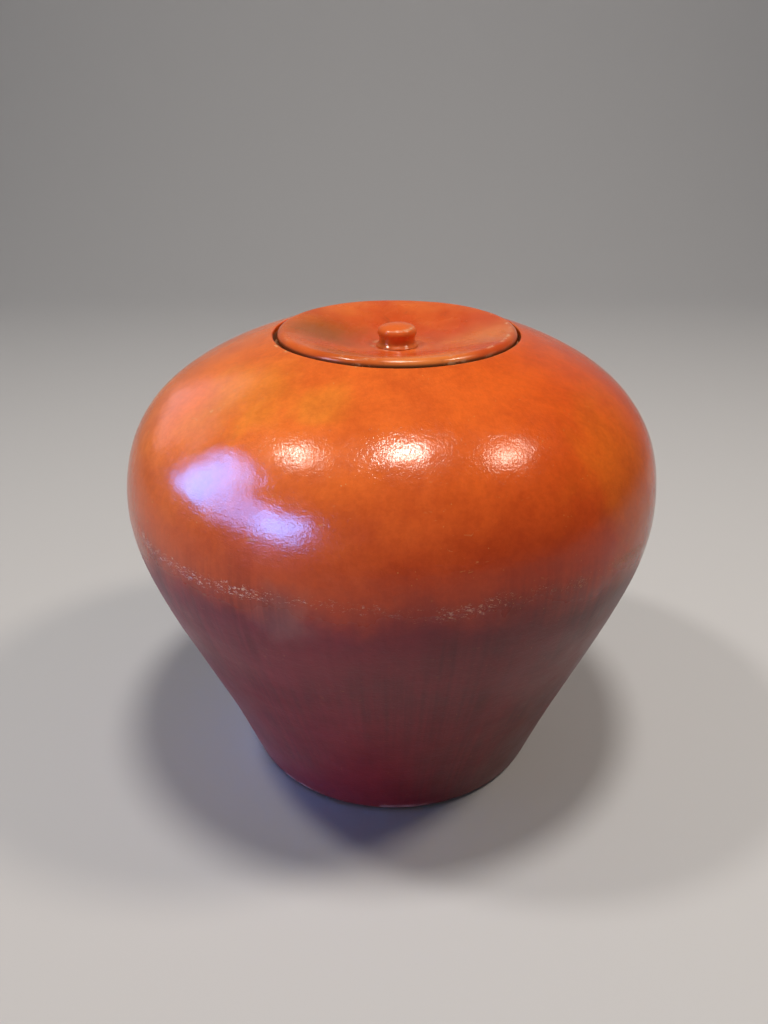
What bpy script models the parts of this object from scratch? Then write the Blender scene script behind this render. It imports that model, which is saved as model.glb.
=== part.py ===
"""Lidded storage jar of burnished red earthenware, with a saucer-shaped lid and a stub knob.

Metres, +Z up. The origin is the middle of the flat foot, and +Z is the jar's own axis. Every piece
is turned from an outline in the XZ plane. The lid and its knob hang from an empty on that axis, at
the height of the seat, because the lid lifts straight up along it.
"""

import math

import bpy

# ---- driving dimensions, in metres ----
CLEARANCE = 0.0003              # gap between faces that touch

# Outside of the jar
BELLY_RADIUS = 0.150
BELLY_HEIGHT = 0.172
FOOT_FLAT_RADIUS = 0.0835       # the flat disc that the jar stands on
FOOT_ROUNDING = 0.007
WALL_LEAN = math.radians(20.0)  # lower wall, off vertical at the foot
WALL_PULL = 0.090               # how far the lower wall runs on before it curves in
BELLY_PULL_DOWN = 0.036         # length of the upright stretch below the belly
BELLY_PULL_UP = 0.054           # and above it
SHOULDER_SLOPE = math.radians(20.0)
SHOULDER_PULL = 0.046           # length of the flattish stretch round the mouth

# Mouth
MOUTH_RADIUS = 0.0668           # the recess that takes the lid
LIP_HEIGHT = 0.2582
LIP_ROUNDING = 0.0020

# Inside of the jar
WALL_THICKNESS = 0.0070
MOUTH_THICKNESS = 0.0090        # the wall is left thicker round the mouth
THICKENING_RADIUS = 0.110       # where that thickening starts
FLOOR_THICKNESS = 0.0090
FLOOR_RADIUS = 0.070
CORNER_HEIGHT = 0.026           # where the inner corner meets the straight wall
CORNER_PULL_OUT = 0.010         # how far the floor runs on into the inner corner
CORNER_PULL_DOWN = 0.008        # and the wall

# Seat ring
SEAT_HEIGHT = 0.2523
SEAT_BORE = 0.0560
SEAT_EDGE_ROUNDING = 0.0012
SEAT_TOE_RADIUS = 0.078         # how far out the coil is smeared along the wall
SEAT_COIL_DEPTH = 0.0070
SEAT_TOE_PULL = 0.008           # how far the coil's underside runs level from its toe
SEAT_TOE_DROP = 0.0005
SEAT_END_MARGIN = 0.0020        # room left at both ends of the smear

# Lid, with heights above the seat
LID_RADIUS = 0.0650
RIM_ROUNDING = 0.0040
RIM_HEIGHT = 0.0083
RIM_BAND_SLOPE = math.radians(9.0)
RIM_BAND_PULL = 0.018           # length of the flattish band inside the rim
DISH_HEIGHT = -0.0024           # the middle of the dish, below the seat
DISH_PULL = 0.034               # how far out the dish stays nearly level
LID_FLOOR_THICKNESS = 0.0070
LID_LAND_INNER = 0.0570         # the flat under the rim ends here
LID_LAND_PULL = 0.006           # how the flat eases into the underside
LID_LAND_DROP = 0.0025
LID_UNDER_PULL = 0.022

# Knob, with heights above the middle of the dish
KNOB_SEAT = 0.0006              # underside of the knob, clear of the dish
KNOB_FOOT_RADIUS = 0.0122
KNOB_FOOT_SWELL = 0.0018        # height of the swollen joint at the foot
KNOB_NECK_RADIUS = 0.0101
KNOB_NECK_HEIGHT = 0.0032
KNOB_CAP_RADIUS = 0.0110
KNOB_CAP_HEIGHT = 0.0076        # widest part of the cap
KNOB_EDGE_ROUNDING = 0.0033
KNOB_EDGE_TOP = math.radians(66.0)
KNOB_EDGE_FOOT = math.radians(-34.0)
KNOB_CROWN = 0.0126
KNOB_CROWN_PULL = 0.0048        # how far out the crown stays nearly level
KNOB_EDGE_PULL = 0.0026
KNOB_THROAT_PULL = 0.0010

# Points along the outlines
SHOULDER_STEPS = 13
WALL_STEPS = 9
CORNER_STEPS = 4
LIP_STEPS = 6
FOOT_STEPS = 5
SEAT_STEPS = 6
DISH_STEPS = 12
RIM_STEPS = 11
UNDER_STEPS = 9
CAP_STEPS = 5

# Turning
ROUND_STEPS = 48
KNOB_STEPS = 32
MERGE_DISTANCE = 0.00001


def bezier(start, start_handle, end_handle, end, count):
    """Points along a cubic curve, both ends included."""
    points = []
    for index in range(count + 1):
        t = index / count
        weights = ((1 - t) ** 3, 3 * t * (1 - t) ** 2, 3 * t * t * (1 - t), t ** 3)
        ends = (start, start_handle, end_handle, end)
        points.append(tuple(sum(w * p[axis] for w, p in zip(weights, ends)) for axis in (0, 1)))
    return points


def arc(centre, radius, from_angle, to_angle, count):
    """Points along a round corner, both ends included."""
    points = []
    for index in range(count + 1):
        angle = from_angle + (to_angle - from_angle) * index / count
        points.append((centre[0] + radius * math.cos(angle), centre[1] + radius * math.sin(angle)))
    return points


def polar(point, angle, length):
    """The point at a length and angle from another."""
    return (point[0] + length * math.cos(angle), point[1] + length * math.sin(angle))


def smooth_step(value):
    """Ease from 0 to 1."""
    value = min(max(value, 0.0), 1.0)
    return value * value * (3.0 - 2.0 * value)


def shoulder_outline():
    """The shoulder, from the lip's outer side down to the belly."""
    centre = (MOUTH_RADIUS + LIP_ROUNDING, LIP_HEIGHT - LIP_ROUNDING)
    top = polar(centre, math.pi / 2 - SHOULDER_SLOPE, LIP_ROUNDING)
    top_handle = polar(top, -SHOULDER_SLOPE, SHOULDER_PULL)
    belly = (BELLY_RADIUS, BELLY_HEIGHT)
    belly_handle = (BELLY_RADIUS, BELLY_HEIGHT + BELLY_PULL_UP)
    return bezier(top, top_handle, belly_handle, belly, SHOULDER_STEPS)


def lower_wall_outline():
    """The lower wall, from the belly down to the foot's rounding."""
    belly = (BELLY_RADIUS, BELLY_HEIGHT)
    foot = polar((FOOT_FLAT_RADIUS, FOOT_ROUNDING), -WALL_LEAN, FOOT_ROUNDING)
    foot_handle = polar(foot, math.pi / 2 - WALL_LEAN, WALL_PULL)
    belly_handle = (BELLY_RADIUS, BELLY_HEIGHT - BELLY_PULL_DOWN)
    return bezier(belly, belly_handle, foot_handle, foot, WALL_STEPS)


def wall_thickness_at(radius):
    """The wall's thickness, which grows towards the mouth."""
    share = (THICKENING_RADIUS - radius) / (THICKENING_RADIUS - MOUTH_RADIUS)
    return WALL_THICKNESS + (MOUTH_THICKNESS - WALL_THICKNESS) * smooth_step(share)


def inner_surface(extra=0.0):
    """The inside of the wall, top to bottom: the outside moved in by the wall's thickness."""
    outer = shoulder_outline() + lower_wall_outline()[1:]
    points = []
    for before, here, after in zip(outer, outer[1:], outer[2:]):
        run, rise = after[0] - before[0], after[1] - before[1]
        length = math.hypot(run, rise)
        depth = wall_thickness_at(here[0]) + extra
        points.append((here[0] + rise / length * depth, here[1] - run / length * depth))
    return points


def height_on(points, radius):
    """The height of the underside of the shoulder at a radius, run on inwards past its first point."""
    (r0, z0), (r1, z1) = next(pair for pair in zip(points, points[1:]) if radius <= pair[1][0])
    return z0 + (z1 - z0) * (radius - r0) / (r1 - r0)


def jar_outline():
    """The jar's section, from the middle of its floor round to the middle of its foot."""
    inside = inner_surface()
    recess_foot = (MOUTH_RADIUS, height_on(inside, MOUTH_RADIUS))
    wall = [p for p in inside if p[0] > MOUTH_RADIUS + LIP_ROUNDING or p[1] < BELLY_HEIGHT]
    wall = [p for p in wall if p[1] > CORNER_HEIGHT]
    lowest = wall[-1]
    floor_handle = (FLOOR_RADIUS + CORNER_PULL_OUT, FLOOR_THICKNESS)
    corner = bezier((FLOOR_RADIUS, FLOOR_THICKNESS), floor_handle,
                    polar(lowest, -math.pi / 2 - WALL_LEAN, CORNER_PULL_DOWN), lowest, CORNER_STEPS)
    lip_centre = (MOUTH_RADIUS + LIP_ROUNDING, LIP_HEIGHT - LIP_ROUNDING)
    lip = arc(lip_centre, LIP_ROUNDING, math.pi, math.pi / 2 - SHOULDER_SLOPE, LIP_STEPS)
    foot_centre = (FOOT_FLAT_RADIUS, FOOT_ROUNDING)
    foot = arc(foot_centre, FOOT_ROUNDING, -WALL_LEAN, -math.pi / 2, FOOT_STEPS)
    outline = [(0.0, FLOOR_THICKNESS)] + corner[:-1] + wall[::-1] + [recess_foot] + lip
    outline += shoulder_outline()[1:] + lower_wall_outline()[1:] + foot[1:] + [(0.0, 0.0)]
    return outline


def seat_ring_outline():
    """The section of the coil inside the mouth, down its outer side and back up its bore."""
    contact = inner_surface(extra=CLEARANCE)
    outer = MOUTH_RADIUS - CLEARANCE
    top_outer = (outer, SEAT_HEIGHT)
    under_lip = (outer, height_on(contact, outer) - CLEARANCE)
    nearest, farthest = outer + SEAT_END_MARGIN, SEAT_TOE_RADIUS - SEAT_END_MARGIN
    smeared = [p for p in contact if nearest < p[0] < farthest]
    toe = (SEAT_TOE_RADIUS, height_on(contact, SEAT_TOE_RADIUS))
    bore_centre = (SEAT_BORE + SEAT_EDGE_ROUNDING, SEAT_HEIGHT - SEAT_EDGE_ROUNDING)
    bore_foot = (SEAT_BORE, SEAT_HEIGHT - SEAT_COIL_DEPTH / 2)
    belly = bezier(toe, (SEAT_TOE_RADIUS - SEAT_TOE_PULL, toe[1] - SEAT_TOE_DROP),
                   (SEAT_BORE, bore_foot[1] - SEAT_COIL_DEPTH), bore_foot, SEAT_STEPS)
    rounding = arc(bore_centre, SEAT_EDGE_ROUNDING, math.pi, math.pi / 2, 3)
    return [top_outer, under_lip] + smeared + belly + rounding + [top_outer]


def lid_outline():
    """The lid's section, from the middle of its dish over the rim to the middle of its underside."""
    rim_centre = (LID_RADIUS - RIM_ROUNDING, RIM_HEIGHT - RIM_ROUNDING)
    crest_angle = math.pi / 2 + RIM_BAND_SLOPE
    crest = polar(rim_centre, crest_angle, RIM_ROUNDING)
    band_handle = polar(crest, math.pi + RIM_BAND_SLOPE, RIM_BAND_PULL)
    middle = (0.0, DISH_HEIGHT)
    dish = bezier(middle, (DISH_PULL, DISH_HEIGHT), band_handle, crest, DISH_STEPS)
    rim = arc(rim_centre, RIM_ROUNDING, crest_angle, -math.pi / 2, RIM_STEPS)
    land_end = (LID_LAND_INNER, rim[-1][1])
    under_middle = (0.0, DISH_HEIGHT - LID_FLOOR_THICKNESS)
    under = bezier(land_end, (LID_LAND_INNER - LID_LAND_PULL, land_end[1] - LID_LAND_DROP),
                   (LID_UNDER_PULL, under_middle[1]), under_middle, UNDER_STEPS)
    return dish[:-1] + rim + under


def knob_outline():
    """The knob's section, from its crown down over the cap and neck to its flared foot."""
    cap_centre = (KNOB_CAP_RADIUS - KNOB_EDGE_ROUNDING, KNOB_CAP_HEIGHT)
    edge = arc(cap_centre, KNOB_EDGE_ROUNDING, KNOB_EDGE_TOP, KNOB_EDGE_FOOT, CAP_STEPS)
    edge_handle = polar(edge[0], KNOB_EDGE_TOP + math.pi / 2, KNOB_EDGE_PULL)
    crown = bezier((0.0, KNOB_CROWN), (KNOB_CROWN_PULL, KNOB_CROWN), edge_handle, edge[0], 4)
    neck = (KNOB_NECK_RADIUS, KNOB_NECK_HEIGHT)
    below_cap = bezier(edge[-1], polar(edge[-1], KNOB_EDGE_FOOT - math.pi / 2, KNOB_THROAT_PULL),
                       (KNOB_NECK_RADIUS, KNOB_NECK_HEIGHT + KNOB_THROAT_PULL), neck, 3)
    swell = (KNOB_FOOT_RADIUS, KNOB_FOOT_SWELL)
    foot = bezier(neck, (KNOB_NECK_RADIUS, KNOB_FOOT_SWELL), swell, (KNOB_FOOT_RADIUS, KNOB_SEAT), 4)
    return crown + edge[1:] + below_cap[1:] + foot[1:] + [(0.0, KNOB_SEAT)]


def clay(name, colour, roughness):
    """A material for fired clay."""
    material = bpy.data.materials.new(name)
    material.use_nodes = True
    shader = material.node_tree.nodes["Principled BSDF"]
    shader.inputs["Base Color"].default_value = (*colour, 1.0)
    shader.inputs["Roughness"].default_value = roughness
    shader.inputs["Metallic"].default_value = 0.0
    return material


def turned(name, outline, steps, material, collection, parent=None):
    """A solid turned round the Z axis from an outline in the XZ plane."""
    closed = outline[0] == outline[-1]
    points = outline[:-1] if closed else outline
    mesh = bpy.data.meshes.new(name)
    edges = [(index, index + 1) for index in range(len(points) - 1)]
    if closed:
        edges.append((len(points) - 1, 0))
    mesh.from_pydata([(radius, 0.0, height) for radius, height in points], edges, [])
    body = bpy.data.objects.new(name, mesh)
    body.data.materials.append(material)
    collection.objects.link(body)
    body.parent = parent
    screw = body.modifiers.new("turn", "SCREW")
    screw.axis = "Z"
    screw.steps = steps
    screw.render_steps = steps
    screw.use_merge_vertices = True
    screw.merge_threshold = MERGE_DISTANCE
    screw.use_smooth_shade = True
    return body


def empty(name, height, collection, parent=None):
    """A guide on the jar's axis."""
    guide = bpy.data.objects.new(name, None)
    guide.location = (0.0, 0.0, height)
    guide.empty_display_size = 0.02
    guide.parent = parent
    collection.objects.link(guide)
    return guide


def build_jar():
    """Clear the scene and build the jar, its seat ring, its lid and the lid's knob."""
    for old in list(bpy.data.objects):
        bpy.data.objects.remove(old, do_unlink=True)
    collection = bpy.data.collections.new("lidded_red_clay_jar")
    bpy.context.scene.collection.children.link(collection)

    jar_clay = clay("jar_red_burnish", (0.42, 0.085, 0.022), 0.30)
    seat_clay = clay("seat_bare_clay", (0.38, 0.13, 0.055), 0.75)
    lid_clay = clay("lid_red_burnish", (0.40, 0.095, 0.030), 0.34)
    knob_clay = clay("knob_red_burnish", (0.36, 0.085, 0.032), 0.36)

    turned("jar_body", jar_outline(), ROUND_STEPS, jar_clay, collection)
    turned("lid_seat_ring", seat_ring_outline(), ROUND_STEPS, seat_clay, collection)

    lid_axis = empty("lid_axis", SEAT_HEIGHT, collection)
    knob_base = empty("knob_base", DISH_HEIGHT, collection, lid_axis)
    turned("lid_dish", lid_outline(), ROUND_STEPS, lid_clay, collection, lid_axis)
    turned("lid_knob", knob_outline(), KNOB_STEPS, knob_clay, collection, knob_base)


build_jar()
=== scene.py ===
"""Looks of the lidded red clay jar: its burnished surfaces, its worn edges and the studio round it.

Metres, +Z up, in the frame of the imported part. Each sub-assembly is a class that draws its mesh up
ring by ring, as a potter draws up a wall, and then dresses it in its finish. All patterns read
Object coordinates, and every piece's object sits at the origin with its place in its mesh.
"""

import logging
import math
from dataclasses import dataclass, field
from enum import Enum
from typing import Any, Callable, Sequence

import bpy
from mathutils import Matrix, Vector


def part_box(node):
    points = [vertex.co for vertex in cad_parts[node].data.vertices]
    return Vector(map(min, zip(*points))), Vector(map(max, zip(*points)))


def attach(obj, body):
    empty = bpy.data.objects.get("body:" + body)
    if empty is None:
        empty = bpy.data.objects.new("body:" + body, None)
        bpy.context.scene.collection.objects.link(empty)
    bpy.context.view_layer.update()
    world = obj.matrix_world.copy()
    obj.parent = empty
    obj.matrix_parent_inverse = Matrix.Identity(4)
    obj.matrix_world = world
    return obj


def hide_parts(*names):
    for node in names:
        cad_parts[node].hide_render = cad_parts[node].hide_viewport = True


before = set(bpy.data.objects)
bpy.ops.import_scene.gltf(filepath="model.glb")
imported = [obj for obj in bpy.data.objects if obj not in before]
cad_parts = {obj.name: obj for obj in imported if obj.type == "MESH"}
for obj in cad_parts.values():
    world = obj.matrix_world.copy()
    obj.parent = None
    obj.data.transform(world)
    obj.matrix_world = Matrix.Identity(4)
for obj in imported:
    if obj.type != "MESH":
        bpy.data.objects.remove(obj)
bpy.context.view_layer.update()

LOG = logging.getLogger("clay_jar")
MM = 0.001
MOUTH_OFF = Vector((1.2 * MM, -0.3 * MM, 0.0))  # how far the mouth lies off the jar's middle
LID_OFF = Vector((1.5 * MM, 0.3 * MM, 0.0))  # how far the lid lies off it
MOUTH_RADIUS = 66.0 * MM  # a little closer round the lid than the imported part's
BELLY_HEIGHT = 172.0 * MM
BELLY_INSET = 1.1 * MM  # room for the belly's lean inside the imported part's box

NODE_STEP = (220.0, -260.0)  # spacing of the shader nodes in the editor
NODE_ROWS = 6

Point = tuple[float, float]
Colour = tuple[float, float, float]
Socket = Any


class Laying(Enum):
    """How one colour is laid over another."""

    COVER = "MIX"
    DARKEN = "MULTIPLY"


# --------------------------------------------------------------------------------------------
# Outlines
# --------------------------------------------------------------------------------------------


def curve(start: Point, start_handle: Point, end_handle: Point, end: Point,
          count: int) -> list[Point]:
    """Lay points along a cubic curve.

    Args:
        start: First point, as radius and height.
        start_handle: Handle that the curve leaves the first point towards.
        end_handle: Handle that it comes to the last point from.
        end: Last point.
        count: Number of steps.

    Returns:
        The points, both ends included.
    """
    points = []
    for index in range(count + 1):
        t = index / count
        weights = ((1 - t) ** 3, 3 * t * (1 - t) ** 2, 3 * t * t * (1 - t), t**3)
        ends = (start, start_handle, end_handle, end)
        points.append((sum(w * p[0] for w, p in zip(weights, ends)),
                       sum(w * p[1] for w, p in zip(weights, ends))))
    return points


def corner(centre: Point, radius: float, start: float, end: float, count: int) -> list[Point]:
    """Lay points along a round corner.

    Args:
        centre: The corner's centre, as radius and height.
        radius: The corner's own radius.
        start: Angle of the first point, in degrees.
        end: Angle of the last point, in degrees.
        count: Number of steps.

    Returns:
        The points, both ends included.
    """
    angles = [math.radians(start + (end - start) * i / count) for i in range(count + 1)]
    return [(centre[0] + radius * math.cos(a), centre[1] + radius * math.sin(a)) for a in angles]


def aim(point: Point, degrees: float, length: float) -> Point:
    """Return the point at an angle and a length from another."""
    angle = math.radians(degrees)
    return (point[0] + length * math.cos(angle), point[1] + length * math.sin(angle))


def straight(start: Point, end: Point, count: int) -> list[Point]:
    """Return evenly spaced points from start to end, both included."""
    return [(start[0] + (end[0] - start[0]) * i / count, start[1] + (end[1] - start[1]) * i / count)
            for i in range(count + 1)]


def set_in(points: Sequence[Point], depth: Callable[[float], float]) -> list[Point]:
    """Move an outline that runs down its outer side inwards.

    Args:
        points: The outline, as radii and heights.
        depth: How far in, for a radius.

    Returns:
        The moved points, without the first and the last.
    """
    moved = []
    for before, here, after in zip(points, points[1:], points[2:]):
        run, rise = after[0] - before[0], after[1] - before[1]
        share = depth(here[0]) / math.hypot(run, rise)
        moved.append((here[0] + rise * share, here[1] - run * share))
    return moved


# --------------------------------------------------------------------------------------------
# Working the clay
# --------------------------------------------------------------------------------------------


def clear_selection() -> None:
    """Leave object mode with nothing selected."""
    if bpy.context.object and bpy.context.object.mode != "OBJECT":
        bpy.ops.object.mode_set(mode="OBJECT")
    bpy.ops.object.select_all(action="DESELECT")


def take_up(piece: bpy.types.Object) -> None:
    """Make a piece the only one selected, and active."""
    clear_selection()
    piece.select_set(True)
    bpy.context.view_layer.objects.active = piece


def pull_rings(rings: Sequence[Point]) -> None:
    """Draw the selected ring on through a row of others.

    Args:
        rings: Radius and height of the selected ring, then of each ring to draw.
    """
    for (radius, height), (next_radius, next_height) in zip(rings, rings[1:]):
        bpy.ops.mesh.extrude_region_move(
            TRANSFORM_OT_translate={"value": (0.0, 0.0, next_height - height)})
        grow = next_radius / radius
        bpy.ops.transform.resize(value=(grow, grow, 1.0), center_override=(0.0, 0.0, next_height))


def first_ring(name: str, start: Point, sides: int, fill: str) -> bpy.types.Object:
    """Lay the first ring of a piece and enter edit mode with its edge selected.

    Args:
        name: The piece's name.
        start: Radius and height of the ring.
        sides: Number of its sides.
        fill: How its middle is filled.

    Returns:
        The piece.
    """
    clear_selection()
    bpy.ops.mesh.primitive_circle_add(vertices=sides, radius=start[0], fill_type=fill,
                                      location=(0.0, 0.0, start[1]))
    piece = bpy.context.object
    piece.name = piece.data.name = name
    bpy.ops.object.transform_apply(location=True, rotation=True, scale=True)
    bpy.ops.object.mode_set(mode="EDIT")
    bpy.ops.mesh.select_mode(type="EDGE")
    bpy.ops.mesh.select_all(action="DESELECT")
    bpy.ops.mesh.select_non_manifold()
    return piece


def draw_up(name: str, outline: Sequence[Point], sides: int) -> bpy.types.Object:
    """Draw up a closed turned body from a disc, one ring at a time.

    Args:
        name: The piece's name.
        outline: Radii and heights from a pole round to the other. It runs down the outer side.
        sides: Number of sides of each ring.

    Returns:
        The piece, at the origin, with its faces pointing out.
    """
    piece = first_ring(name, outline[1], sides, "TRIFAN")
    pull_rings(outline[1:-1])
    bpy.ops.mesh.extrude_region_move(
        TRANSFORM_OT_translate={"value": (0.0, 0.0, outline[-1][1] - outline[-2][1])})
    bpy.ops.mesh.merge(type="CENTER")
    close_up()
    return piece


def draw_ring(name: str, outline: Sequence[Point], sides: int) -> bpy.types.Object:
    """Draw up a closed ring with an open middle.

    Args:
        name: The piece's name.
        outline: Radii and heights once round the section, its first point not repeated.
        sides: Number of sides of each ring.

    Returns:
        The piece, at the origin, with its faces pointing out.
    """
    piece = first_ring(name, outline[0], sides, "NOTHING")
    pull_rings(outline)
    bpy.ops.mesh.select_all(action="DESELECT")
    bpy.ops.mesh.select_non_manifold()
    bpy.ops.mesh.bridge_edge_loops()
    close_up()
    return piece


def close_up() -> None:
    """Merge doubles, turn the faces outwards and leave edit mode."""
    bpy.ops.mesh.select_all(action="SELECT")
    bpy.ops.mesh.remove_doubles(threshold=0.01 * MM)
    bpy.ops.mesh.normals_make_consistent(inside=False)
    bpy.ops.object.mode_set(mode="OBJECT")


def smooth(piece: bpy.types.Object, levels: int) -> None:
    """Round a piece off with an applied Subdivision Surface."""
    take_up(piece)
    rounding = piece.modifiers.new("rounding", "SUBSURF")
    rounding.levels = rounding.render_levels = levels
    bpy.ops.object.modifier_apply(modifier=rounding.name)
    bpy.ops.object.shade_smooth()


@dataclass(frozen=True)
class Unevenness:
    """How uneven the hand left a surface: slow dips that only ever go inwards.

    Attributes:
        depth: Deepest dip, in metres.
        spread: Width of the dips, in metres.
    """

    depth: float
    spread: float

    def work(self, piece: bpy.types.Object, keep: Callable[[Vector], float]) -> None:
        """Press the dips into a piece.

        Args:
            piece: The piece.
            keep: How fully a point takes the dips, from 0 to 1.
        """
        take_up(piece)
        reach = piece.vertex_groups.new(name="worked")
        for vertex in piece.data.vertices:
            reach.add([vertex.index], keep(vertex.co), "REPLACE")
        pattern = bpy.data.textures.new(piece.name + "_dips", "CLOUDS")
        pattern.noise_scale = self.spread
        pattern.noise_depth = 1
        pressing = piece.modifiers.new("pressing", "DISPLACE")
        pressing.texture = pattern
        pressing.texture_coords = "LOCAL"
        pressing.strength = self.depth
        pressing.mid_level = 1.0
        pressing.vertex_group = reach.name
        bpy.ops.object.modifier_apply(modifier=pressing.name)
        piece.vertex_groups.clear()


def pick(piece: bpy.types.Object, wanted: Callable[[Vector], bool]) -> None:
    """Enter edit mode on a piece with only the wanted points selected.

    Args:
        piece: The piece.
        wanted: Tells whether a point is wanted, from its place.
    """
    take_up(piece)
    bpy.ops.object.mode_set(mode="EDIT")
    bpy.ops.mesh.select_mode(type="VERT")
    bpy.ops.mesh.select_all(action="DESELECT")
    bpy.ops.object.mode_set(mode="OBJECT")
    for vertex in piece.data.vertices:
        vertex.select = wanted(vertex.co)
    bpy.ops.object.mode_set(mode="EDIT")


def lean(piece: bpy.types.Object, height: float, push: Vector, reach: float) -> None:
    """Push a piece sideways at a height, with the push dying out above and below.

    Args:
        piece: The piece.
        height: Height that takes the whole push.
        push: How far and which way.
        reach: Height above and below at which nothing moves.
    """
    nearest = min((v.co.z for v in piece.data.vertices), key=lambda z: abs(z - height))
    pick(piece, lambda at: abs(at.z - nearest) < 0.5 * MM)
    bpy.ops.transform.translate(value=push, use_proportional_edit=True,
                                proportional_edit_falloff="SMOOTH", proportional_size=reach)
    bpy.ops.object.mode_set(mode="OBJECT")


def shift(piece: bpy.types.Object, across: Vector) -> None:
    """Move a whole mesh sideways."""
    take_up(piece)
    bpy.ops.object.mode_set(mode="EDIT")
    bpy.ops.mesh.select_all(action="SELECT")
    bpy.ops.transform.translate(value=across)
    bpy.ops.object.mode_set(mode="OBJECT")


def dress(piece: bpy.types.Object, finishes: Sequence[bpy.types.Material],
          choose: Callable[[Vector, Vector], int]) -> None:
    """Give each face of a piece one of several finishes.

    Args:
        piece: The piece.
        finishes: The materials, in slot order.
        choose: The slot for a face, from its middle and its normal.
    """
    piece.data.materials.clear()
    for finish in finishes:
        piece.data.materials.append(finish)
    for face in piece.data.polygons:
        face.material_index = choose(face.center, face.normal)


# --------------------------------------------------------------------------------------------
# Shader nodes
# --------------------------------------------------------------------------------------------


class NodeSheet:
    """Lays shader nodes into one tree and joins them."""

    def __init__(self, tree: bpy.types.NodeTree) -> None:
        """Start on a tree."""
        self.tree = tree
        self.count = 0

    def add(self, kind: str, **settings: Any) -> bpy.types.Node:
        """Add a node of a kind with its settings."""
        node = self.tree.nodes.new(kind)
        column, row = divmod(self.count, NODE_ROWS)
        node.location = (NODE_STEP[0] * column, NODE_STEP[1] * row)
        self.count += 1
        for key, value in settings.items():
            setattr(node, key, value)
        return node

    def feed(self, target: Socket, source: Any) -> None:
        """Join a socket to an input, or set the input to a number, a vector or a colour."""
        if isinstance(source, bpy.types.NodeSocket):
            self.tree.links.new(source, target)
        elif isinstance(source, (tuple, list)) and len(target.default_value) == 4:
            target.default_value = (*source, 1.0) if len(source) == 3 else source
        else:
            target.default_value = source

    def math(self, operation: str, *values: Any, clamp: bool = False) -> Socket:
        """Return the outcome of a sum on numbers."""
        node = self.add("ShaderNodeMath", operation=operation, use_clamp=clamp)
        for target, value in zip(node.inputs, values):
            self.feed(target, value)
        return node.outputs[0]

    def vector(self, operation: str, *values: Any) -> Socket:
        """Return the outcome of a sum on vectors: a length for LENGTH and DISTANCE."""
        node = self.add("ShaderNodeVectorMath", operation=operation)
        for target, value in zip(node.inputs, values):
            self.feed(target, value)
        return node.outputs["Value" if operation in ("LENGTH", "DISTANCE") else "Vector"]

    def scaled(self, vector: Any, factor: Any) -> Socket:
        """Return a vector times a number."""
        node = self.add("ShaderNodeVectorMath", operation="SCALE")
        self.feed(node.inputs[0], vector)
        self.feed(node.inputs["Scale"], factor)
        return node.outputs["Vector"]

    def remap(self, value: Any, low: Any, high: Any, to_low: Any = 0.0, to_high: Any = 1.0) -> Socket:
        """Return a value eased from one range into another."""
        node = self.add("ShaderNodeMapRange", interpolation_type="SMOOTHSTEP")
        for target, source in zip(node.inputs, (value, low, high, to_low, to_high)):
            self.feed(target, source)
        return node.outputs[0]

    def noise(self, vector: Any, scale: Any, detail: float = 3.0, rough: float = 0.5,
              warp: float = 0.0) -> Socket:
        """Return a cloudy value about 0.5, with a scale in waves a metre."""
        node = self.add("ShaderNodeTexNoise")
        for key, source in (("Vector", vector), ("Scale", scale), ("Detail", detail),
                            ("Roughness", rough), ("Distortion", warp)):
            self.feed(node.inputs[key], source)
        return node.outputs[0]

    def cells(self, vector: Any, scale: float) -> Socket:
        """Return the distance to the nearest of many scattered points."""
        node = self.add("ShaderNodeTexVoronoi", feature="F1")
        self.feed(node.inputs["Vector"], vector)
        self.feed(node.inputs["Scale"], scale)
        return node.outputs["Distance"]

    def lay(self, mask: Socket, under: Any, over: Any, strength: float = 1.0,
            how: Laying = Laying.COVER) -> Socket:
        """Lay one colour over another.

        Args:
            mask: Where it is laid.
            under: The colour under it.
            over: The colour laid.
            strength: How strongly, where the mask is full.
            how: The way of laying it.

        Returns:
            The colour that comes of it.
        """
        node = self.add("ShaderNodeMix", data_type="RGBA", blend_type=how.value)
        share = mask if strength == 1.0 else self.math("MULTIPLY", mask, strength)
        self.feed(node.inputs[0], share)
        self.feed(node.inputs[6], under)
        self.feed(node.inputs[7], over)
        return node.outputs[2]

    def parts(self, vector: Any) -> tuple[Socket, Socket, Socket]:
        """Return the three parts of a vector."""
        node = self.add("ShaderNodeSeparateXYZ")
        self.feed(node.inputs[0], vector)
        return node.outputs[0], node.outputs[1], node.outputs[2]

    def joined(self, x: Any, y: Any, z: Any) -> Socket:
        """Return a vector made of three numbers."""
        node = self.add("ShaderNodeCombineXYZ")
        for target, source in zip(node.inputs, (x, y, z)):
            self.feed(target, source)
        return node.outputs[0]

    def length(self, x: Any, y: Any) -> Socket:
        """Return the length of a flat vector."""
        return self.vector("LENGTH", self.joined(x, y, 0.0))

    def effect(self, group: bpy.types.NodeTree, output: str, **values: Any) -> Socket:
        """Place an effect with its own values and return one of its outputs."""
        node = self.add("ShaderNodeGroup", node_tree=group)
        for key, source in values.items():
            self.feed(node.inputs[key.replace("_", " ").capitalize()], source)
        return node.outputs[output]


class Kind(Enum):
    """What a socket of a node group carries."""

    NUMBER = "NodeSocketFloat"
    VECTOR = "NodeSocketVector"


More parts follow.
